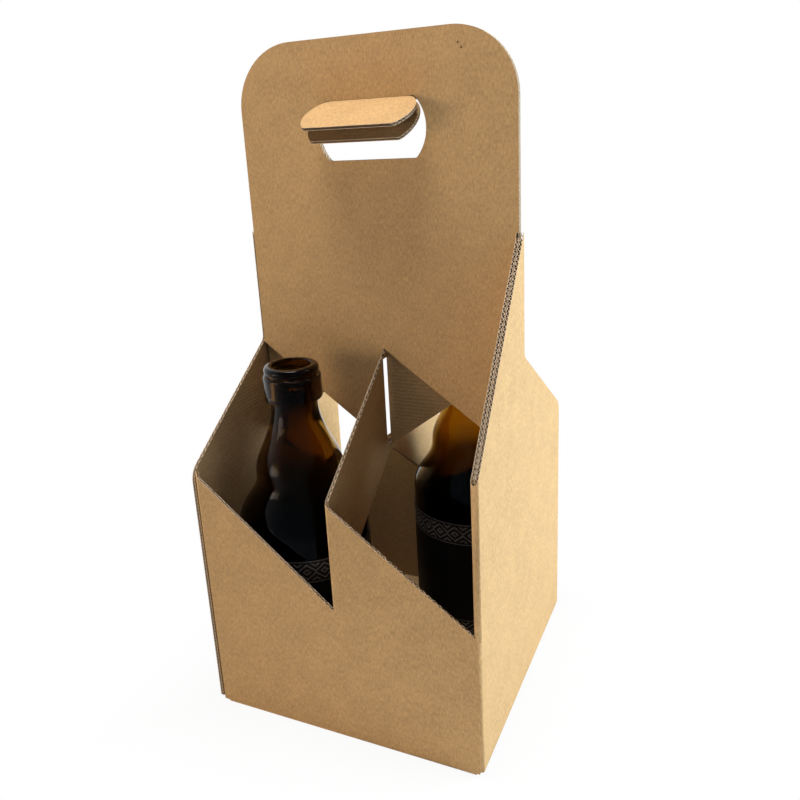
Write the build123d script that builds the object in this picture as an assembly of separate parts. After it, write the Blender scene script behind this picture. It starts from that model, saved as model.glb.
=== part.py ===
"""Carrier for four beer bottles, folded from two die-cut blanks of corrugated board.

Each blank is one piece: glue tab, front wall, side wall, the inner ply folded back behind the
side wall's tall half, one ply of the handle panel, a divider and two floor flaps. The second
blank is the first one turned half a turn about the upright axis, with the crease of its hand
hole a little lower. Two open brown bottles stand in opposite cells, and both plies of the hand
hole keep their flap on a crease.

Millimetres, +Z up, origin on the ground under the middle of the box, front wall towards -Y.
"""
import os

from build123d import *

# Board and folds
board = 1.5
crease_radius = 0.2
ply_gap = 0.3
overrun = 5.0

# Box, with its cells sized to the bottle
cell_play = 1.2
depth_play = 4.5
front_low = 71.5
strip_height = 53.5
limb_height = 59.5
corner_height = 145.0
shoulder_height = 236.0
wall_corner_radius = 10.0
notch_radius = 5.0
tab_width = 18.0
tab_slant = 9.0

# Handle panel, hand hole and its two flaps
handle_height = 325.0
handle_radius = 30.0
grip_height = 27.7
hole_height = 27.3
hole_length = 55.6
hole_end_radius = 20.0
hole_corner_radius = 2.5
flap_clearance = 0.6
flap_corner_radius = 7.0
crease_gap = 0.3
front_flap_angle = 65.0
back_flap_angle = 51.0

# See-through slot at the divider's rear fold
slot_width = 6.0
slot_return = 1.0
slot_foot = 3.0
slot_head = 5.0

# Floor flaps
lock_depth = 12.0
lock_slant = 6.0
floor_clearance = 0.5
flap_inset = 2.0
flap_taper = 12.0

# Bottle, from its base up
bottle_radius = 33.0
base_corner_radius = 5.0
foot_width = 1.5
punt_height = 3.5
base_thickness = 6.0
glass_wall = 3.0
shoulder_start = 94.0
neck_height = 153.8
neck_radius = 11.6
throat_wall = 2.0
throat_drop = 7.0
collar_rise = 2.5
collar_height = 12.7
collar_reach = 2.7
collar_round = 1.2
groove_height = 1.0
groove_reach = 1.0
bead_height = 3.8
bead_reach = 2.0
bead_foot_round = 0.7
bead_top_round = 2.2
lip_round = 0.8

# Shoulder points between the body's top and the neck: shares of the rise and of the narrowing
shoulder_rise_shares = (0.351, 0.473, 0.612)
shoulder_reach_shares = (0.517, 0.483, 0.344)

# Gaps from the inside of the walls to each bottle's body
front_left_side_gap = 2.5
front_left_front_gap = 4.5
back_right_side_gap = 1.5
back_right_back_gap = 8.0

# Wrap label
label_low = 16.0
label_high = 84.5
label_thickness = 0.15
label_gap = 0.05

# Sizes that follow
fold = board + crease_radius
half_width = 2 * bottle_radius + cell_play + 3 * board + ply_gap
half_depth = 2 * bottle_radius + depth_play + board
strip_front_top = front_low + strip_height
strip_back_top = strip_front_top + strip_height
limb_top = front_low + limb_height
tab_face = -half_width + board
inner_face = half_width - board - ply_gap
inner_inside = inner_face - board
nose = board + ply_gap / 2
panel_left = -half_width + board + ply_gap
hole_top = handle_height - grip_height
hole_low = hole_top - hole_height
back_crease = hole_top - board - ply_gap
floor_top = 2 * board
side_reach = half_width - board - bottle_radius
end_reach = half_depth - board - bottle_radius
base_ring_radius = bottle_radius - base_corner_radius - foot_width
collar_low = neck_height + collar_rise
collar_high = collar_low + collar_height
collar_radius = neck_radius + collar_reach
groove_radius = neck_radius + groove_reach
bead_low = collar_high + groove_height
bead_radius = neck_radius + bead_reach
bottle_height = bead_low + bead_height
mouth_radius = neck_radius - throat_wall
throat_height = neck_height - throat_drop


def upright_x(at):
    """Plane facing +X: its own axes are Y and Z."""
    return Plane(origin=(at, 0, 0), x_dir=(0, 1, 0), z_dir=(1, 0, 0))


def upright_y(at):
    """Plane facing -Y: its own axes are X and Z."""
    return Plane(origin=(0, at, 0), x_dir=(1, 0, 0), z_dir=(0, -1, 0))


def outline(*points):
    """Closed flat outline through the given points."""
    return Sketch() + make_face(Polyline(*points, close=True))


def round_corner(shape, at, radius):
    """Round the outline's corner nearest to a point."""
    corner = shape.vertices().sort_by_distance((*at, 0))[0]
    return fillet(corner, radius)


def sheet_x(shape, low, high):
    """Outline in Y and Z, cut from board between two X values."""
    return extrude(upright_x(low) * shape, high - low)


def sheet_y(shape, low, high):
    """Outline in X and Z, cut from board between two Y values."""
    return extrude(upright_y(high) * shape, high - low)


def quarter_fold(side):
    """Section of a right-angled fold about the origin, bulging to the side (sx, sy)."""
    ring = Circle(fold) - Circle(crease_radius)
    return ring & (Pos(side[0] * fold / 2, side[1] * fold / 2) * Rectangle(fold, fold))


def upright_fold(at, side, low, high):
    """Right-angled fold with an upright axis at (x, y), bulging to the side (sx, sy)."""
    return extrude(Pos(*at, low) * quarter_fold(side), high - low)


def hole_shape(top, inset):
    """Hand hole with a straight top and foot and round ends, drawn in X and Z."""
    low = hole_low + inset
    middle = hole_low + hole_height / 2
    reach = hole_length / 2 - hole_end_radius
    ends = Pos(reach, middle) * Circle(hole_end_radius - inset)
    ends += Pos(-reach, middle) * Circle(hole_end_radius - inset)
    ends += Pos(0, middle) * Rectangle(2 * reach, 2 * (hole_end_radius - inset))
    band = Pos(0, (low + top) / 2) * Rectangle(hole_length, top - low)
    shape = ends & band
    return fillet(shape.vertices().group_by(Axis.Y)[0], hole_corner_radius)


def front_wall():
    """Front wall with the V of the left cell, its glue tab and its fold into the divider."""
    left = tab_face + fold
    right = half_width - fold
    drop = strip_height / half_width
    face = outline(
        (left, fold),
        (right, fold),
        (right, front_low + drop * fold),
        (fold, strip_front_top - drop * fold),
        (fold, front_low),
        (0, front_low),
        (left, front_low - limb_height / half_width * left),
    )
    wall = sheet_y(face, -half_depth, -half_depth + board)
    tab_top = limb_top - tab_slant
    tab = outline(
        (-half_depth + fold, floor_top + tab_slant / 2),
        (-half_depth + fold, tab_top),
        (-half_depth + tab_width, tab_top - tab_slant),
        (-half_depth + tab_width, floor_top + tab_slant),
    )
    wall += sheet_x(tab, tab_face, tab_face + board)
    return wall + upright_fold((left, -half_depth + fold), (-1, -1), fold, limb_top)


def divider():
    """Slanting strip from the front wall's middle to the handle panel."""
    rise = strip_height / half_depth
    strip = outline(
        (-half_depth + fold, front_low + rise * fold),
        (-half_depth + fold, strip_front_top + rise * fold),
        (0, strip_back_top),
        (0, strip_front_top),
    )
    front_fold = upright_fold((fold, -half_depth + fold), (-1, -1), front_low, strip_front_top)
    return sheet_x(strip, 0, board) + front_fold


def side_wall():
    """Outer ply of the right wall: tall half in front, low half with a rounded corner behind."""
    start = -half_depth + nose
    slope = (shoulder_height - corner_height) / half_depth
    foot = board + fold
    face = outline(
        (start, foot),
        (half_depth, foot),
        (half_depth, limb_top),
        (0, strip_back_top),
        (0, shoulder_height),
        (start, corner_height + slope * nose),
    )
    face = round_corner(face, (half_depth, limb_top), wall_corner_radius)
    face = round_corner(face, (0, strip_back_top), notch_radius)
    return sheet_x(face, half_width - board, half_width)


def inner_ply():
    """Ply folded back behind the tall half of the right wall, with its round front edge."""
    start = -half_depth + nose
    slope = (shoulder_height - corner_height) / half_depth
    rise = strip_height / half_depth
    face = outline(
        (start, front_low + rise * nose),
        (start, corner_height + slope * nose),
        (-fold, shoulder_height - slope * fold),
        (-fold, strip_front_top - rise * fold),
    )
    ply = sheet_x(face, inner_inside, inner_face)
    middle = (half_width - nose, start)
    ring = Circle(nose) - Circle(nose - board)
    front_half = Pos(middle[0], start - nose / 2) * Rectangle(2 * nose, nose)
    edge = extrude(Pos(0, 0, front_low) * ((Pos(*middle) * ring) & front_half), shoulder_height - front_low)
    under = outline(
        (start - overrun, front_low),
        (start - overrun, corner_height - slope * (overrun - nose)),
        (start + overrun, corner_height + slope * (overrun + nose)),
        (start + overrun, front_low),
    )
    edge = edge & sheet_x(under, inner_inside - overrun, half_width + overrun)
    return ply + edge


def handle_ply(crease):
    """One ply of the handle panel, with the hand hole and the stepped lower edge."""
    right = inner_face - fold
    drop = strip_height / half_width
    face = outline(
        (panel_left, strip_front_top - drop * panel_left),
        (0, strip_front_top),
        (0, strip_back_top),
        (right, strip_back_top - drop * right),
        (right, shoulder_height),
        (inner_face, shoulder_height),
        (inner_face, handle_height),
        (panel_left, handle_height),
    )
    face = round_corner(face, (inner_face, handle_height), handle_radius)
    face = round_corner(face, (panel_left, handle_height), handle_radius)
    face -= hole_shape(crease, 0)
    ply = sheet_y(face, -board, 0)
    return ply + upright_fold((right, -fold), (1, 1), strip_front_top, shoulder_height)


def floor_flaps():
    """Large lower flap of the front wall, hooked in the middle, and upper flap of the side wall."""
    left = tab_face + fold + flap_inset
    right = half_width - fold - flap_inset
    start = -half_depth + fold
    lower = outline(
        (left, start),
        (right, start),
        (right, -lock_depth - floor_clearance),
        (lock_slant, -lock_depth - floor_clearance),
        (-lock_slant - floor_clearance, lock_depth - floor_clearance),
        (left, lock_depth - floor_clearance),
    )
    flaps = extrude(lower, board)
    upper = outline(
        (half_width - fold, start),
        (half_width - fold, half_depth - fold),
        (floor_clearance, half_depth - fold - flap_taper),
        (floor_clearance, start + flap_taper),
    )
    flaps += Pos(0, 0, board) * extrude(upper, board)
    front_fold = Pos(start, fold) * quarter_fold((-1, -1))
    flaps += sheet_x(front_fold, left, right)
    side_fold = Pos(half_width - fold, board + fold) * quarter_fold((1, -1))
    return flaps + sheet_y(side_fold, start, half_depth - fold)


def blank(crease):
    """The whole folded blank, with the top of its hand hole at the given height."""
    corner = (half_width - fold, -half_depth + fold)
    solid = front_wall() + divider() + side_wall() + inner_ply() + handle_ply(crease) + floor_flaps()
    solid += upright_fold(corner, (1, -1), floor_top + crease_radius, front_low)
    slot = Box(
        board + slot_return + overrun,
        slot_width + overrun,
        strip_height - slot_foot - slot_head,
        align=(Align.MAX, Align.MAX, Align.MIN),
    )
    return solid - Pos(board + overrun, overrun, strip_front_top + slot_foot) * slot


def handle_flap(crease, front, angle):
    """Flap of the hand hole, hanging from its crease and pushed forwards by the angle."""
    shape = hole_shape(crease - crease_gap, flap_clearance)
    shape = fillet(shape.vertices().group_by(Axis.Y)[-1], flap_corner_radius)
    plate = sheet_y(shape, front, front + board)
    return plate.rotate(Axis((0, front, crease), (1, 0, 0)), -angle)


def bottle_profile():
    """Half section of the bottle, drawn in X and Z."""
    rise = neck_height - shoulder_start
    reach = bottle_radius - neck_radius
    slope = [
        (neck_radius + out * reach, shoulder_start + up * rise)
        for out, up in zip(shoulder_reach_shares, shoulder_rise_shares)
    ]
    shoulder = Spline(
        (bottle_radius, shoulder_start),
        *slope,
        (neck_radius, neck_height),
        tangents=[(0, 1), (0, 1)],
    )
    outside = Polyline(
        (neck_radius, neck_height),
        (neck_radius, collar_low),
        (collar_radius, collar_low),
        (collar_radius, collar_high),
        (groove_radius, collar_high),
        (groove_radius, bead_low),
        (bead_radius, bead_low),
        (bead_radius, bottle_height),
        (mouth_radius, bottle_height),
        (mouth_radius, throat_height),
    )
    inside = Spline(
        (mouth_radius, throat_height),
        *[(radius - glass_wall, height) for radius, height in reversed(slope)],
        (bottle_radius - glass_wall, shoulder_start),
        tangents=[(0, -1), (0, -1)],
    )
    foot = Polyline(
        (bottle_radius - glass_wall, shoulder_start),
        (bottle_radius - glass_wall, base_thickness + base_corner_radius),
        (base_ring_radius, base_thickness),
        (0, base_thickness + punt_height / 2),
        (0, punt_height),
        (base_ring_radius, 0),
        (bottle_radius, 0),
        (bottle_radius, shoulder_start),
    )
    section = Sketch() + make_face(shoulder + outside + inside + foot)
    section = round_corner(section, (bottle_radius, 0), base_corner_radius)
    for height in (collar_low, collar_high):
        section = round_corner(section, (collar_radius, height), collar_round)
    section = round_corner(section, (bead_radius, bead_low), bead_foot_round)
    section = round_corner(section, (bead_radius, bottle_height), bead_top_round)
    return round_corner(section, (mouth_radius, bottle_height), lip_round)


def turned(section):
    """Solid of revolution about the upright axis from a section in X and Z."""
    return revolve(upright_y(0) * section, Axis.Z)


def label():
    """Paper band wrapped right round the bottle's body."""
    inner = bottle_radius + label_gap
    band = outline(
        (inner, label_low),
        (inner + label_thickness, label_low),
        (inner + label_thickness, label_high),
        (inner, label_high),
    )
    return turned(band)


def main():
    bottle = turned(bottle_profile())
    wrap = label()
    front_left = Pos(front_left_side_gap - side_reach, front_left_front_gap - end_reach, floor_top)
    back_right = Pos(side_reach - back_right_side_gap, end_reach - back_right_back_gap, floor_top)
    nodes = {
        "front_blank": blank(hole_top),
        "back_blank": blank(back_crease).rotate(Axis.Z, 180),
        "front_handle_flap": handle_flap(hole_top, -board, front_flap_angle),
        "back_handle_flap": handle_flap(back_crease, 0, back_flap_angle),
        "front_left_bottle": front_left * bottle,
        "back_right_bottle": back_right * bottle,
        "front_left_label": front_left * wrap,
        "back_right_label": back_right * wrap,
    }
    os.makedirs("parts", exist_ok=True)
    for name, solid in nodes.items():
        export_step(solid, f"parts/{name}.step")


main()
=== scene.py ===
"""Looks of the bottle carrier: corrugated kraft board, brown glass bottles and dark wrap labels.

The board pieces are rebuilt from the faces of the fixed model: both liners as thin paper and,
between them, the waved flutes that show at every cut edge. Metres, in the model's own frame.
"""
import math

import bmesh
import bpy
import numpy
from mathutils import Matrix, Vector
from mathutils.bvhtree import BVHTree


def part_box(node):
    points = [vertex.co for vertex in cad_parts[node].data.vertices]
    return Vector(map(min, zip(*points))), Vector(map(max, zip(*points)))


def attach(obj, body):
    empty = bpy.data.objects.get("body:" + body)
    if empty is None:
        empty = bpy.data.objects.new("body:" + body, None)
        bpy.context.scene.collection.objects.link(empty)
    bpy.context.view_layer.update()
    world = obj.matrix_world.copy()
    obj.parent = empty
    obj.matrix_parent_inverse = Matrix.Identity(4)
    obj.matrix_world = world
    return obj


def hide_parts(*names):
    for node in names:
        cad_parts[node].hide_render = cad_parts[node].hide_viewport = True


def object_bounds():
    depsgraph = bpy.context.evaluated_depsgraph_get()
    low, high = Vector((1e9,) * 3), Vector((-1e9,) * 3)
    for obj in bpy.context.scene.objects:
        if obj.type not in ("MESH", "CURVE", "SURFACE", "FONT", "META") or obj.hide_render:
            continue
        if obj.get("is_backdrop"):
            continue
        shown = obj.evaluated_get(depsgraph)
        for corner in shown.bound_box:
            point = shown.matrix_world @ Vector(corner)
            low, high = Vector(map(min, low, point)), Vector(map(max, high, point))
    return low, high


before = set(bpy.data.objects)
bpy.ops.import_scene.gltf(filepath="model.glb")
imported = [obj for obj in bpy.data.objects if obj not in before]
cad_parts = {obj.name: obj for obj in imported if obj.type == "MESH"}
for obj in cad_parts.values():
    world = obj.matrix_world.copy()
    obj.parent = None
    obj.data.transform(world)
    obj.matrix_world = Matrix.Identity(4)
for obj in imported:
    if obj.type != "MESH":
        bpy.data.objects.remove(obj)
cad_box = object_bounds()

MM = 0.001
UP = Vector((0, 0, 1))

# Board
BOARD = 1.5 * MM
LINER = 0.2 * MM
MEDIUM = 0.2 * MM
FLUTE_PITCH = 1.9 * MM
FLUTE_TURN = 2 * math.pi / FLUTE_PITCH
FLUTE_STEPS = 8
STRIP_SIDES = (0, 1, 2, 3), (7, 6, 5, 4)
STRIP_ENDS = (0, 3, 7, 4), (2, 1, 5, 6)
WELD = 0.001 * MM
THICKNESS_SLACK = 0.2 * MM
SMALLEST_PANEL = 100 * MM * MM
LEVEL = 0.99
SHARP = math.radians(60)
FOLD_SMOOTH = math.radians(40)

# Hand hole flaps: how far each leans from the upright
FLAP_LEAN = {"front_handle_flap": math.radians(65), "back_handle_flap": math.radians(51)}

# Bottle in millimetres, from its base up
BODY_RADIUS = 33.0
BASE_ROUND = 5.0
FOOT_WIDTH = 1.5
PUNT = 3.5
BASE_THICKNESS = 6.0
GLASS = 3.0
SHOULDER_START = 94.0
NECK_HEIGHT = 153.8
NECK_RADIUS = 11.6
THROAT_WALL = 2.0
THROAT_DROP = 7.0
COLLAR_LOW = NECK_HEIGHT + 2.5
COLLAR_HIGH = COLLAR_LOW + 12.7
COLLAR_RADIUS = NECK_RADIUS + 2.7
COLLAR_ROUND = 1.2
GROOVE_RADIUS = NECK_RADIUS + 1.0
BEAD_LOW = COLLAR_HIGH + 1.0
BEAD_HIGH = BEAD_LOW + 3.8
BEAD_RADIUS = NECK_RADIUS + 2.0
BEAD_ROUNDS = (0.7, 2.2)
LIP_ROUND = 0.8
SHOULDER_RISES = (0.351, 0.473, 0.612)
SHOULDER_REACHES = (0.517, 0.483, 0.344)
BOTTLE_TURNS = 144
CURVE_STEPS = 12
ROUND_STEPS = 6
GLASS_SMOOTH = math.radians(35)

# Materials: a noise is its scale, in grains to the metre, and its detail. Tones are factors on a
# colour, from dark to light. NOISE_CORE is the range that most of any noise lies in.
NOISE_CORE = (0.3, 0.7)

# Kraft paper of the liners
KRAFT_OUTER = (0.545, 0.345, 0.162)
# Inner liner: its own paper is darker and greyer, and its colour is darkened further as painted shade of
# the cells' insides
INNER_KRAFT_AND_SHADE = (0.37, 0.245, 0.125)
KRAFT_TONES = (0.5, 1.5)
KRAFT_ROUGHNESS = (0.72, 0.86)
KRAFT_SPECULAR = 0.12
MOTTLE_NOISE = (90.0, 6.0)
MOTTLE_SWING = 0.12
STREAK_NOISE = (2000.0, 2.0)
STREAK_STRETCH = (1, 1, 0.2)
STREAK_SWING = 0.36
GRAIN_NOISE = (800.0, 4.0)
GRAIN_SWING = 0.24
GRAIN_BUMP = 0.25
GRAIN_DEPTH = 0.05 * MM
SPECK_NOISE = (1500.0, 0.0)
SPECK_LEVELS = (0.78, 0.84)
SPECK_AMOUNT = 0.5
SPECK_TONE = 0.4
# Ripple of the flutes through the liners: its bump strength, which also scales the painted shade in
# stripes along it
OUTER_RIPPLE = 0.015
INNER_RIPPLE = 0.4
RIPPLE_SHADE_AMOUNT = 0.55
RIPPLE_SHADE_TONE = 0.7
RIPPLE_DEPTH = 0.06 * MM
HANDLE_DOTS = (43.8 * MM, -1.5 * MM, 317.5 * MM), (45.3 * MM, -1.5 * MM, 315.3 * MM)
DOT_RADIUS = 0.65 * MM
DOT_CORE = DOT_RADIUS / 2
DOT_AMOUNT = 0.85
DOT_TONE = 0.15

# Bare paper of the cut edges; the flutes' waved faces take a far darker colour, which is painted shade
# inside the flute tubes
CUT_EDGE = (0.72, 0.56, 0.40)
FLUTE_SHADE = (0.14, 0.095, 0.06)
RAW_NOISE = (2400.0, 3.0)
RAW_TONES = (0.75, 1.25)
RAW_ROUGHNESS = (0.8, 0.95)
RAW_SPECULAR = 0.1

# Glass: amber in each bottle's neck; below it, and nearly so in the finish above it, the colour fades to a
# near-black brown, which is painted shade where little light comes through
# The front bottle's amber is darker than the back one's, as painted shade of its cell
NECK_AMBER_AND_SHADE = {"front_left": (0.28, 0.147, 0.02), "back_right": (0.41, 0.225, 0.02)}
AMBER_TONES = (0.92, 1.08)
SHADE_BROWN = (0.06, 0.026, 0.008)
SHADE_BROWN_TONES = (0.85, 1.15)
SHADE_FADE_FOOT = 104 * MM
SHADE_FADE_TOP = 124 * MM
FINISH_FOOT = 146 * MM
FINISH_TOP = 156 * MM
FINISH_AMBER = 0.15
GLASS_SHEEN = (0.04, 0.05, 0.062)
GLASS_IOR = 1.52
GLASS_ROUGHNESS = (0.03, 0.12)
SWELL_NOISE = (45.0, 2.0)
SWELL_BUMP = 0.05
SWELL_DEPTH = 0.3 * MM
SMEAR_NOISE = (160.0, 4.0)
SMEAR_LEVELS = (0.4, 0.8)

# Labels and their printed border
LABEL_INK = (0.004, 0.004, 0.0045)
LABEL_INK_TONES = (0.6, 1.6)
LABEL_SILVER = (0.16, 0.16, 0.165)
LABEL_ROUGHNESS = (0.5, 0.38)
LABEL_SPECULAR = 0.1
LABEL_NOISE = (1800.0, 2.0)
LABEL_BUMP = 0.12
LABEL_DEPTH = 0.03 * MM
WEAR_NOISE = (900.0, 3.0)
WEAR_LEVELS = (0.3, 0.6)
WEAR_AMOUNTS = (0.45, 1.0)
LOZENGES = 24
LOZENGE_LEAN = 0.8
BAND_HEIGHT = 11 * MM
BAND_MARGIN = 0.6 * MM
LINE_WIDTH = 0.5 * MM
RING_PITCH = 1.3 * MM
RING_EDGE = (0.45 * RING_PITCH, 0.6 * RING_PITCH)

# Camera of the photograph, in the frame's metres and the photograph's pixels
IMAGE_SIZE = 800
FOCAL_PIXELS = 797.8
CENTRE_PIXEL = (378.3, 364.2)
CAMERA_PLACE = Vector((166.5, -348.9, 286.7)) * MM
CAMERA_YAW = math.radians(-26.02)
CAMERA_PITCH = math.radians(16.86)
CAMERA_ROLL = math.radians(-3.41)
SENSOR = 36.0
CLIP_START = 10 * MM

# Light: a large cool source to the right and behind, a weak warm one low in front, one above
KEY_PLACE = Vector((1.2, 0.55, 0.6))
KEY_SIZE = 0.9
KEY_POWER = 33.0
KEY_COLOUR = (0.80, 0.92, 1.0)
FILL_PLACE = Vector((-0.75, -0.95, 0.15))
FILL_SIZE = 0.5
FILL_POWER = 5.8
FILL_COLOUR = (1.0, 0.81, 0.63)
TOP_PLACE = Vector((-0.04, -0.07, 0.8))
TOP_SIZE = 0.3
TOP_POWER = 4.3
TOP_COLOUR = (1.0, 0.97, 0.92)
LIGHT_AIM = Vector((0, 0, 0.14))
WORLD_STRENGTH = 0.03
WHITE = (1, 1, 1, 1)

# Floor: where it is looked at it glows white, a little less close to the box, where the shadow lies
FLOOR_CORNERS = (-1, -1), (1, -1), (1, 1), (-1, 1)
FLOOR_HALF = 4.0
FLOOR_DROP = 0.1 * MM
FLOOR_COLOUR = (0.855, 0.855, 0.855)
FLOOR_ROUGHNESS = 0.9
FLOOR_GLOW = 0.93
SHADOW_REACH = 60 * MM


def set_inputs(tree, node, inputs):
    """Set or link a shader node's inputs by socket name or number."""
    for name, value in inputs.items():
        if isinstance(value, bpy.types.NodeSocket):
            tree.links.new(value, node.inputs[name])
        else:
            node.inputs[name].default_value = value


def add(tree, kind, inputs=None, **settings):
    """New shader node with its settings and inputs."""
    node = tree.nodes.new(kind)
    for name, value in settings.items():
        setattr(node, name, value)
    set_inputs(tree, node, inputs or {})
    return node


def sums(tree, operation, *values):
    """Result of one arithmetic node."""
    return add(tree, "ShaderNodeMath", dict(enumerate(values)), operation=operation).outputs[0]


def spread(tree, value, low, high, to_low=0.0, to_high=1.0):
    """Value stretched from one range to another and clamped."""
    limits = {"Value": value, "From Min": low, "From Max": high, "To Min": to_low, "To Max": to_high}
    return add(tree, "ShaderNodeMapRange", limits).outputs[0]


def object_place(tree):
    """Place on the object, which is the place in the frame at rest."""
    return add(tree, "ShaderNodeTexCoord").outputs["Object"]


def split(tree, place):
    """The three parts of a place."""
    return add(tree, "ShaderNodeSeparateXYZ", {0: place}).outputs


def noise(tree, place, scale, detail):
    """Noise from 0 to 1, with its scale in grains to the metre."""
    inputs = {"Vector": place, "Scale": scale, "Detail": detail}
    return add(tree, "ShaderNodeTexNoise", inputs).outputs["Fac"]


def bumped(tree, height, strength, depth, **under):
    """Normal bent by a height, on top of another normal where one is given."""
    inputs = {"Height": height, "Strength": strength, "Distance": depth, **under}
    return add(tree, "ShaderNodeBump", inputs).outputs[0]


def tint(tree, amount, colour, other):
    """Colour mixed towards another by the amount."""
    mixed = add(tree, "ShaderNodeMix", {0: amount, 6: colour, 7: other}, data_type="RGBA")
    return mixed.outputs[2]


def shade(colour, factor=1.0):
    """Colour made lighter or darker, opaque."""
    return (*[min(1.0, part * factor) for part in colour], 1.0)


def toned(tree, amount, colour, tones):
    """Colour from its dark tone to its light one by the amount."""
    dark, light = tones
    return tint(tree, amount, shade(colour, dark), shade(colour, light))


def new_material(name):
    """New material, its node tree and its Principled shader."""
    material = bpy.data.materials.new(name)
    material.use_nodes = True
    return material, material.node_tree, material.node_tree.nodes["Principled BSDF"]


def kraft(name, colour, lean, ripple, dots=()):
    """Kraft paper: mottled, with fibre streaks across the flutes, specks, dots, and the flutes' ripple as
    a bump and as painted shade in stripes along it.
    """
    material, tree, shader = new_material(name)
    place = object_place(tree)
    flat = add(tree, "ShaderNodeMapping", {"Vector": place, "Rotation": (lean, 0, 0)}).outputs[0]
    long = add(tree, "ShaderNodeMapping", {"Vector": flat, "Scale": STREAK_STRETCH}).outputs[0]
    mottle = noise(tree, flat, *MOTTLE_NOISE)
    streak = noise(tree, long, *STREAK_NOISE)
    grain = noise(tree, flat, *GRAIN_NOISE)
    blend = 0.5
    for pattern, swing in ((mottle, MOTTLE_SWING), (streak, STREAK_SWING), (grain, GRAIN_SWING)):
        blend = sums(tree, "ADD", blend, spread(tree, pattern, 0.0, 1.0, -swing, swing))
    base = toned(tree, blend, colour, KRAFT_TONES)
    speck = spread(tree, noise(tree, flat, *SPECK_NOISE), *SPECK_LEVELS, 0.0, SPECK_AMOUNT)
    base = tint(tree, speck, base, shade(colour, SPECK_TONE))
    wave = sums(tree, "SINE", sums(tree, "MULTIPLY", split(tree, flat)[2], FLUTE_TURN))
    # Painted shade in stripes along the flutes' ripple
    ripple_shade = spread(tree, wave, -1.0, 1.0, 0.0, RIPPLE_SHADE_AMOUNT * ripple)
    base = tint(tree, ripple_shade, base, shade(colour, RIPPLE_SHADE_TONE))
    for dot in dots:
        gap = add(tree, "ShaderNodeVectorMath", {0: place, 1: dot}, operation="DISTANCE")
        mark = spread(tree, gap.outputs["Value"], DOT_CORE, DOT_RADIUS, DOT_AMOUNT, 0.0)
        base = tint(tree, mark, base, shade(colour, DOT_TONE))
    fibres = bumped(tree, grain, GRAIN_BUMP, GRAIN_DEPTH)
    set_inputs(tree, shader, {
        "Base Color": base,
        "Roughness": spread(tree, streak, *NOISE_CORE, *KRAFT_ROUGHNESS),
        "Specular IOR Level": KRAFT_SPECULAR,
        "Normal": bumped(tree, wave, ripple, RIPPLE_DEPTH, Normal=fibres),
    })
    return material


def raw_paper(name, colour):
    """Uncoated paper of the cut edges, and of the flutes in a dark colour that is painted shade."""
    material, tree, shader = new_material(name)
    grain = noise(tree, object_place(tree), *RAW_NOISE)
    set_inputs(tree, shader, {
        "Base Color": toned(tree, spread(tree, grain, *NOISE_CORE), colour, RAW_TONES),
        "Roughness": spread(tree, grain, *NOISE_CORE, *RAW_ROUGHNESS),
        "Specular IOR Level": RAW_SPECULAR,
    })
    return material


def brown_glass(name, amber):
    """Brown bottle glass, a little uneven, as pressed glass is, with painted shade that makes it far
    darker in body and finish.
    """
    material, tree, shader = new_material(name)
    place = object_place(tree)
    swell = noise(tree, place, *SWELL_NOISE)
    smear = noise(tree, place, *SMEAR_NOISE)
    uneven = spread(tree, swell, *NOISE_CORE)
    thin = toned(tree, uneven, amber, AMBER_TONES)
    shaded_brown = toned(tree, uneven, SHADE_BROWN, SHADE_BROWN_TONES)
    height = split(tree, place)[2]
    # Painted shade: the colour turns from the near-black brown to amber up the shoulder, and back towards
    # the brown in the finish
    rise = spread(tree, height, SHADE_FADE_FOOT, SHADE_FADE_TOP)
    fall = spread(tree, height, FINISH_FOOT, FINISH_TOP, 1.0, FINISH_AMBER)
    set_inputs(tree, shader, {
        "Base Color": tint(tree, sums(tree, "MULTIPLY", rise, fall), shaded_brown, thin),
        "Roughness": spread(tree, smear, *SMEAR_LEVELS, *GLASS_ROUGHNESS),
        "Specular Tint": shade(GLASS_SHEEN),
        "Transmission Weight": 1.0,
        "IOR": GLASS_IOR,
        "Normal": bumped(tree, swell, SWELL_BUMP, SWELL_DEPTH),
    })
    return material


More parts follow.
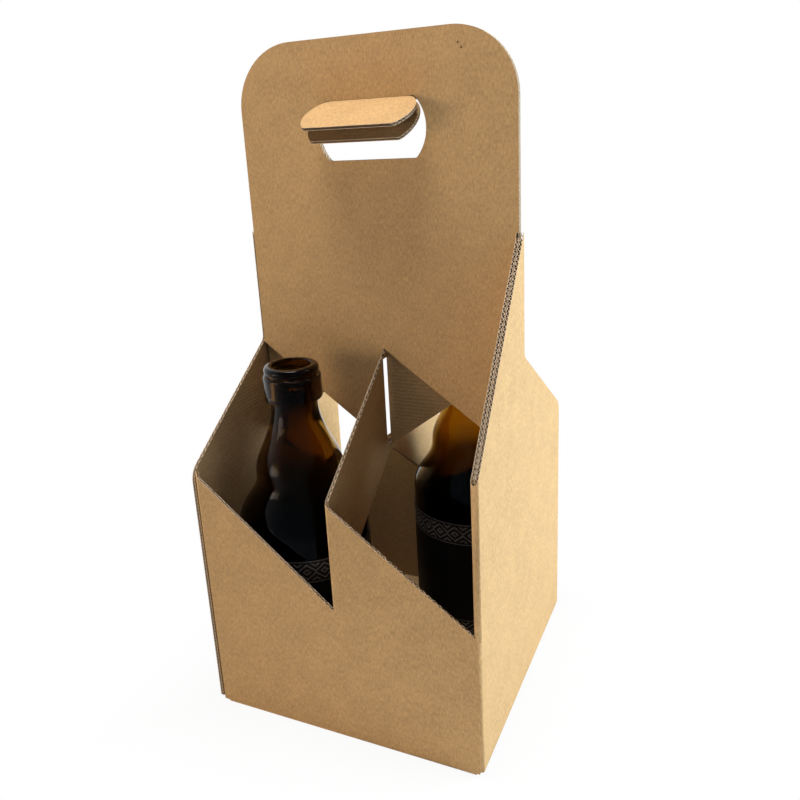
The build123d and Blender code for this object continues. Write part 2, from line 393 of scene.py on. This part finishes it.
def label_print(name, node):
    """Dark satin label with a silver border of nested lozenges between lines at its top and foot."""
    material, tree, shader = new_material(name)
    low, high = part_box(node)
    middle = (low + high) / 2
    radius = (high.x - low.x) / 2
    place = object_place(tree)
    parts = split(tree, place)
    across = sums(tree, "SUBTRACT", parts[0], middle.x)
    along = sums(tree, "SUBTRACT", parts[1], middle.y)
    arc = sums(tree, "MULTIPLY", sums(tree, "ARCTAN2", along, across), radius)
    repeat = 2 * math.pi * radius / LOZENGES
    step = sums(tree, "ABSOLUTE", sums(tree, "WRAP", arc, repeat / 2, -repeat / 2))
    total = 0.0
    for band in (high.z - BAND_HEIGHT / 2 - BAND_MARGIN, low.z + BAND_HEIGHT / 2 + BAND_MARGIN):
        rise = sums(tree, "ABSOLUTE", sums(tree, "SUBTRACT", parts[2], band))
        lozenge = sums(tree, "ADD", sums(tree, "MULTIPLY", step, LOZENGE_LEAN), rise)
        ring = spread(tree, sums(tree, "PINGPONG", lozenge, RING_PITCH), *RING_EDGE)
        inside = sums(tree, "LESS_THAN", rise, BAND_HEIGHT / 2 - 2 * LINE_WIDTH)
        line = sums(tree, "COMPARE", rise, BAND_HEIGHT / 2, LINE_WIDTH / 2)
        band_print = sums(tree, "MAXIMUM", sums(tree, "MULTIPLY", ring, inside), line)
        total = sums(tree, "MAXIMUM", total, band_print)
    worn = spread(tree, noise(tree, place, *WEAR_NOISE), *WEAR_LEVELS, *WEAR_AMOUNTS)
    ink = sums(tree, "MULTIPLY", total, worn)
    grain = noise(tree, place, *LABEL_NOISE)
    black = toned(tree, grain, LABEL_INK, LABEL_INK_TONES)
    set_inputs(tree, shader, {
        "Base Color": tint(tree, ink, black, shade(LABEL_SILVER)),
        "Roughness": spread(tree, ink, 0.0, 1.0, *LABEL_ROUGHNESS),
        "Specular IOR Level": LABEL_SPECULAR,
        "Normal": bumped(tree, grain, LABEL_BUMP, LABEL_DEPTH),
    })
    return material


def sheet_skin(node):
    """Both liners of a board node: its faces without the cut edges, as a mesh in the making."""
    skin = bmesh.new()
    skin.from_mesh(node.data)
    bmesh.ops.remove_doubles(skin, verts=skin.verts, dist=WELD)
    skin.normal_update()
    tree = BVHTree.FromBMesh(skin)
    cut = []
    for face in skin.faces:
        start = face.calc_center_median() - face.normal * WELD
        through = tree.ray_cast(start, -face.normal)[3]
        if through is None or min(abs(through - plies * BOARD) for plies in (1, 2)) > THICKNESS_SLACK:
            cut.append(face)
    bmesh.ops.delete(skin, geom=cut, context="FACES")
    return skin


def joined_faces(first):
    """All faces reached from one face across shared edges that bend no more than a fold's steps do.

    They are listed as they are met, because a set of faces has another order at each run.
    """
    met = [first]
    known = {first}
    for face in met:
        for edge in face.edges:
            if edge.calc_face_angle(0.0) > SHARP:
                continue
            for neighbour in edge.link_faces:
                if neighbour not in known:
                    known.add(neighbour)
                    met.append(neighbour)
    return met


def split_sides(skin, outwards):
    """Faces of the outer liner, which reaches furthest in a direction, and of the inner one; scraps go."""
    known = set()
    groups = []
    for face in skin.faces:
        if face not in known:
            groups.append(joined_faces(face))
            known.update(groups[-1])

    def reach(group):
        return max(vert.co.dot(outwards) for face in group for vert in face.verts)

    groups.sort(key=lambda group: sum(face.calc_area() for face in group), reverse=True)
    for group in groups[2:]:
        bmesh.ops.delete(skin, geom=group, context="FACES")
    return sorted(groups[:2], key=reach, reverse=True)


def flat_panels(faces):
    """Flat stretches among the faces, each with the outward normal of its largest face."""
    panels = {}
    for face in faces:
        normal = face.normal
        offset = normal.dot(face.verts[0].co)
        key = (round(normal.x, 2), round(normal.y, 2), round(normal.z, 2), round(offset / MM, 1))
        panels.setdefault(key, []).append(face)
    for panel in panels.values():
        if sum(face.calc_area() for face in panel) > SMALLEST_PANEL:
            largest = max(panel, key=lambda face: face.calc_area())
            yield panel, largest.normal.copy()


def flute_axes(panel, normal):
    """Directions along the flutes and across them in a panel's plane; level panels are floor flaps."""
    if abs(normal.z) < LEVEL:
        along = UP.cross(normal).normalized()
    elif panel[0].verts[0].co.z < BOARD / 2:
        along = Vector((1, 0, 0))
    else:
        along = Vector((0, 1, 0))
    return along, normal.cross(along)


def outline_edges(panel, along, across):
    """The panel's outline as pairs of flat points, first along the flutes and then across."""
    inside = set(panel)
    for edge in dict.fromkeys(edge for face in panel for edge in face.edges):
        if sum(face in inside for face in edge.link_faces) == 1:
            yield [(vert.co.dot(along), vert.co.dot(across)) for vert in edge.verts]


def at_height(edge, height):
    """Place along the flutes where an outline edge has the given height, kept on the edge."""
    (start, low), (end, high) = edge
    share = min(1.0, max(0.0, (height - low) / (high - low)))
    return start + share * (end - start)


def crossings(edges, low, high):
    """Stretches of the panel between two heights: for each, its ends at both heights."""
    middle = (low + high) / 2
    met = [edge for edge in edges if (edge[0][1] < middle) != (edge[1][1] < middle)]
    met.sort(key=lambda edge: at_height(edge, middle))
    for first, last in zip(met[::2], met[1::2]):
        yield [(at_height(first, h), at_height(last, h)) for h in (low, high)]


def add_flutes(panel, normal, verts, faces):
    """Waved paper between a panel's liners, as strips that end at the panel's outline."""
    along, across = flute_axes(panel, normal)
    edges = list(outline_edges(panel, along, across))
    plane = panel[0].verts[0].co.dot(normal) - BOARD / 2
    swing = BOARD / 2 - LINER - MEDIUM / 2
    step = FLUTE_PITCH / FLUTE_STEPS
    low = min(point[1] for edge in edges for point in edge)
    high = max(point[1] for edge in edges for point in edge)

    def point(place, height, side):
        lean = swing * FLUTE_TURN * math.cos(FLUTE_TURN * height)
        out = swing * math.sin(FLUTE_TURN * height) + side * MEDIUM / 2 * math.hypot(1, lean)
        return along * place + across * height + normal * (plane + out)

    for row in range(math.floor(low / step), math.ceil(high / step)):
        bottom = max(low, row * step)
        top = min(high, (row + 1) * step)
        for (left, right), (upper_left, upper_right) in crossings(edges, bottom, top):
            first = len(verts)
            for side in (1, -1):
                verts.append(point(left, bottom, side))
                verts.append(point(right, bottom, side))
                verts.append(point(upper_right, top, side))
                verts.append(point(upper_left, top, side))
            for quad in STRIP_SIDES + STRIP_ENDS:
                faces.append([first + corner for corner in quad])


def new_piece(name, mesh, body):
    """Object for a mesh, riding on a body."""
    piece = bpy.data.objects.new(name, mesh)
    bpy.context.scene.collection.objects.link(piece)
    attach(piece, body)
    return piece


def board_piece(node_name, body, outwards, outer, inner, cut, flute_shade):
    """Liners and flutes that stand for one board node."""
    skin = sheet_skin(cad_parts[node_name])
    outside, inside = split_sides(skin, outwards)
    for face in inside:
        face.material_index = 1
    verts = []
    faces = []
    for panel, normal in flat_panels(outside):
        add_flutes(panel, normal, verts, faces)
    flutes = bpy.data.meshes.new(node_name + "_flutes")
    flutes.from_pydata(verts, [], faces)
    # The flutes' waved faces get the painted shade colour, and their ends get the cut edge
    flutes.materials.append(flute_shade)
    flutes.materials.append(cut)
    quads = len(STRIP_SIDES) + len(STRIP_ENDS)
    for face in flutes.polygons:
        face.material_index = int(face.index % quads >= len(STRIP_SIDES))
    new_piece(node_name + "_flutes", flutes, body)

    liners = bpy.data.meshes.new(node_name + "_liners")
    level = {face for side in (outside, inside) for panel, _ in flat_panels(side) for face in panel}
    bent = [face not in level for face in skin.faces]
    skin.to_mesh(liners)
    skin.free()
    liners.set_sharp_from_angle(angle=FOLD_SMOOTH)
    liners.polygons.foreach_set("use_smooth", bent)
    for material in (outer, inner, cut):
        liners.materials.append(material)
    piece = new_piece(node_name + "_liners", liners, body)
    paper = piece.modifiers.new("paper", "SOLIDIFY")
    paper.thickness = LINER
    paper.offset = -1
    paper.use_even_offset = True
    paper.material_offset_rim = 2
    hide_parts(node_name)


def make_boards():
    """Both blanks and both hand hole flaps."""
    # The second paper is painted shade for the flutes' faces inside the tubes
    papers = raw_paper("cut_edge", CUT_EDGE), raw_paper("flute_shade_paper", FLUTE_SHADE)
    outer = kraft("kraft_outer", KRAFT_OUTER, 0.0, OUTER_RIPPLE, HANDLE_DOTS)
    # The inner liners' colour holds painted shade of the cells' insides
    inner = kraft("kraft_inner_and_shade", INNER_KRAFT_AND_SHADE, 0.0, INNER_RIPPLE)
    for node in ("front_blank", "back_blank"):
        board_piece(node, "carrier", -UP, outer, inner, *papers)
    for node, body, outwards in (
        ("front_handle_flap", "front_flap", UP),
        ("back_handle_flap", "back_flap", -UP),
    ):
        lean = FLAP_LEAN[node]
        flap_outer = kraft(node + "_outer", KRAFT_OUTER, lean, OUTER_RIPPLE)
        flap_inner = kraft(node + "_inner", INNER_KRAFT_AND_SHADE, lean, INNER_RIPPLE)
        board_piece(node, body, outwards, flap_outer, flap_inner, *papers)


def smooth_curve(points, start, end):
    """Points on an even curve through the given ones, with its directions at both ends."""
    points = numpy.array(points, float)
    spans = numpy.linalg.norm(numpy.diff(points, axis=0), axis=1)
    count = len(points)
    system = numpy.zeros((count, count))
    wanted = numpy.zeros((count, 2))
    system[0, 0] = system[-1, -1] = 1
    wanted[0], wanted[-1] = start, end
    for i in range(1, count - 1):
        before, after = spans[i - 1], spans[i]
        system[i, i - 1:i + 2] = after, 2 * (before + after), before
        rise = after / before * (points[i] - points[i - 1]) + before / after * (points[i + 1] - points[i])
        wanted[i] = 3 * rise
    slopes = numpy.linalg.solve(system, wanted)
    curve = []
    for i, span in enumerate(spans):
        for t in numpy.arange(CURVE_STEPS) / CURVE_STEPS:
            near = (1 + 2 * t) * points[i] + t * span * slopes[i]
            far = (3 - 2 * t) * points[i + 1] - (1 - t) * span * slopes[i + 1]
            curve.append((1 - t) ** 2 * near + t ** 2 * far)
    return [tuple(point) for point in curve] + [tuple(points[-1])]


def rounded(before, corner, after, radius):
    """Points on the round of a square corner."""
    start = numpy.array(corner, float) + radius * numpy.sign(numpy.subtract(before, corner))
    end = numpy.array(corner, float) + radius * numpy.sign(numpy.subtract(after, corner))
    middle = start + end - corner
    points = []
    for i in range(ROUND_STEPS + 1):
        turn = math.pi / 2 * i / ROUND_STEPS
        points.append(tuple(middle + (start - middle) * math.cos(turn) + (end - middle) * math.sin(turn)))
    return points


def bottle_profile():
    """Half section of a bottle in millimetres, from the middle of the base up and back inside."""
    rise = NECK_HEIGHT - SHOULDER_START
    reach = BODY_RADIUS - NECK_RADIUS
    slope = [
        (NECK_RADIUS + out * reach, SHOULDER_START + up * rise)
        for out, up in zip(SHOULDER_REACHES, SHOULDER_RISES)
    ]
    mouth = NECK_RADIUS - THROAT_WALL
    ring = BODY_RADIUS - BASE_ROUND - FOOT_WIDTH
    inside = BODY_RADIUS - GLASS
    shoulder = [(BODY_RADIUS, SHOULDER_START), *slope, (NECK_RADIUS, NECK_HEIGHT)]
    hollow = [(mouth, NECK_HEIGHT - THROAT_DROP)]
    hollow += [(radius - GLASS, height) for radius, height in reversed(slope)] + [(inside, SHOULDER_START)]
    groove = (GROOVE_RADIUS, COLLAR_HIGH), (GROOVE_RADIUS, BEAD_LOW)
    collar = (COLLAR_RADIUS, COLLAR_LOW), (COLLAR_RADIUS, COLLAR_HIGH)
    bead = (BEAD_RADIUS, BEAD_LOW), (BEAD_RADIUS, BEAD_HIGH)
    lip = (mouth, BEAD_HIGH)
    profile = [(0, PUNT), (ring, 0)]
    profile += rounded((ring, 0), (BODY_RADIUS, 0), shoulder[0], BASE_ROUND)
    profile += smooth_curve(shoulder, (0, 1), (0, 1))
    profile.append((NECK_RADIUS, COLLAR_LOW))
    profile += rounded((NECK_RADIUS, COLLAR_LOW), *collar, COLLAR_ROUND)
    profile += rounded(*collar, groove[0], COLLAR_ROUND)
    profile += groove
    profile += rounded(groove[1], *bead, BEAD_ROUNDS[0])
    profile += rounded(*bead, lip, BEAD_ROUNDS[1])
    profile += rounded(bead[1], lip, hollow[0], LIP_ROUND)
    profile += smooth_curve(hollow, (0, -1), (0, -1))
    profile += [(inside, BASE_THICKNESS + BASE_ROUND), (ring, BASE_THICKNESS)]
    return profile + [(0, BASE_THICKNESS + PUNT / 2)]


def turned_bottle(node_name, body, glass):
    """Smoothly turned bottle that stands for a bottle node."""
    low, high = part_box(node_name)
    foot = Vector(((low.x + high.x) / 2, (low.y + high.y) / 2, low.z))
    shape = bmesh.new()
    rings = []
    for radius, height in bottle_profile():
        angles = [2 * math.pi * i / BOTTLE_TURNS for i in range(BOTTLE_TURNS if radius else 1)]
        spots = [Vector((radius * math.cos(a), radius * math.sin(a), height)) * MM + foot for a in angles]
        rings.append([shape.verts.new(spot) for spot in spots])
    for inner, outer in zip(rings, rings[1:]):
        for i in range(BOTTLE_TURNS):
            j = (i + 1) % BOTTLE_TURNS
            steps = (inner, i), (inner, j), (outer, j), (outer, i)
            corners = [ring[turn % len(ring)] for ring, turn in steps]
            shape.faces.new(dict.fromkeys(corners)).smooth = True
    mesh = bpy.data.meshes.new(node_name + "_turned")
    shape.to_mesh(mesh)
    shape.free()
    mesh.set_sharp_from_angle(angle=GLASS_SMOOTH)
    mesh.materials.append(glass)
    piece = new_piece(node_name + "_turned", mesh, body)
    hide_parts(node_name)


def dress(node_name, material):
    """Give a node of the fixed model its finish."""
    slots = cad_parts[node_name].data.materials
    slots.clear()
    slots.append(material)


def make_bottles():
    """Glass and labels of both bottles."""
    # Each bottle takes its own neck amber; the front one's holds painted shade
    for place, amber in NECK_AMBER_AND_SHADE.items():
        turned_bottle(place + "_bottle", "carrier", brown_glass(place + "_glass", amber))
        dress(place + "_label", label_print(place + "_label_print", place + "_label"))


def make_camera():
    """Camera at the photograph's place, with its frame set off the lens axis as the photograph's is."""
    ahead = Vector((math.sin(CAMERA_YAW), math.cos(CAMERA_YAW), 0))
    right = Vector((math.cos(CAMERA_YAW), -math.sin(CAMERA_YAW), 0))
    view = ahead * math.cos(CAMERA_PITCH) - UP * math.sin(CAMERA_PITCH)
    top = UP * math.cos(CAMERA_PITCH) + ahead * math.sin(CAMERA_PITCH)
    side = right * math.cos(CAMERA_ROLL) + top * math.sin(CAMERA_ROLL)
    top = top * math.cos(CAMERA_ROLL) - right * math.sin(CAMERA_ROLL)
    lens = bpy.data.cameras.new("camera")
    lens.sensor_fit = "HORIZONTAL"
    lens.sensor_width = SENSOR
    lens.lens = FOCAL_PIXELS / IMAGE_SIZE * SENSOR
    lens.shift_x = 0.5 - CENTRE_PIXEL[0] / IMAGE_SIZE
    lens.shift_y = CENTRE_PIXEL[1] / IMAGE_SIZE - 0.5
    lens.clip_start = CLIP_START
    camera = bpy.data.objects.new("camera", lens)
    turn = Matrix((side, top, -view)).transposed().to_4x4()
    camera.matrix_world = Matrix.Translation(CAMERA_PLACE) @ turn
    bpy.context.scene.collection.objects.link(camera)
    bpy.context.scene.camera = camera


def make_lamp(name, place, size, power, colour):
    """Square soft lamp aimed at the middle of the box."""
    light = bpy.data.lights.new(name, "AREA")
    light.shape = "SQUARE"
    light.size = size
    light.energy = power
    light.color = colour
    lamp = bpy.data.objects.new(name, light)
    lamp.visible_camera = False
    lamp.location = place
    lamp.rotation_euler = (LIGHT_AIM - place).to_track_quat("-Z", "Y").to_euler()
    bpy.context.scene.collection.objects.link(lamp)


def seen_directly(tree):
    """1 for rays from the camera, from gloss and through glass, otherwise 0."""
    path = add(tree, "ShaderNodeLightPath").outputs
    gloss = sums(tree, "MAXIMUM", path["Is Glossy Ray"], path["Is Transmission Ray"])
    return sums(tree, "MAXIMUM", path["Is Camera Ray"], gloss)


def make_floor():
    """White floor that keeps a soft shadow."""
    mesh = bpy.data.meshes.new("floor")
    corners = [(x * FLOOR_HALF, y * FLOOR_HALF, -FLOOR_DROP) for x, y in FLOOR_CORNERS]
    mesh.from_pydata(corners, [], [(0, 1, 2, 3)])
    floor = bpy.data.objects.new("floor", mesh)
    bpy.context.scene.collection.objects.link(floor)
    material, tree, shader = new_material("floor")
    set_inputs(tree, shader, {"Base Color": shade(FLOOR_COLOUR), "Roughness": FLOOR_ROUGHNESS})
    glow = add(tree, "ShaderNodeEmission", {"Color": WHITE, "Strength": 1.0})
    parts = split(tree, object_place(tree))
    aside = [sums(tree, "ABSOLUTE", parts[axis]) for axis in (0, 1)]
    half = max(cad_box[1].x, cad_box[1].y)
    reach = spread(tree, sums(tree, "MAXIMUM", *aside), half, half + SHADOW_REACH, FLOOR_GLOW, 1.0)
    amount = sums(tree, "MULTIPLY", seen_directly(tree), reach)
    mixed = add(tree, "ShaderNodeMixShader", {0: amount, 1: shader.outputs[0], 2: glow.outputs[0]})
    set_inputs(tree, tree.nodes["Material Output"], {"Surface": mixed.outputs[0]})
    mesh.materials.append(material)
    floor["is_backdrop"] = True


def make_world():
    """World that is white to look at and gives the object little light."""
    world = bpy.data.worlds.new("world")
    bpy.context.scene.world = world
    world.use_nodes = True
    sky = world.node_tree
    strength = spread(sky, seen_directly(sky), 0.0, 1.0, WORLD_STRENGTH, 1.0)
    set_inputs(sky, sky.nodes["Background"], {"Color": WHITE, "Strength": strength})


make_boards()
make_bottles()
make_camera()
make_lamp("key", KEY_PLACE, KEY_SIZE, KEY_POWER, KEY_COLOUR)
make_lamp("fill", FILL_PLACE, FILL_SIZE, FILL_POWER, FILL_COLOUR)
make_lamp("top", TOP_PLACE, TOP_SIZE, TOP_POWER, TOP_COLOUR)
make_floor()
make_world()
bpy.context.scene.view_settings.view_transform = "Standard"
boxes = {"cad": cad_box, "visual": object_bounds()}
{name: [list(corner) for corner in box] for name, box in boxes.items()}
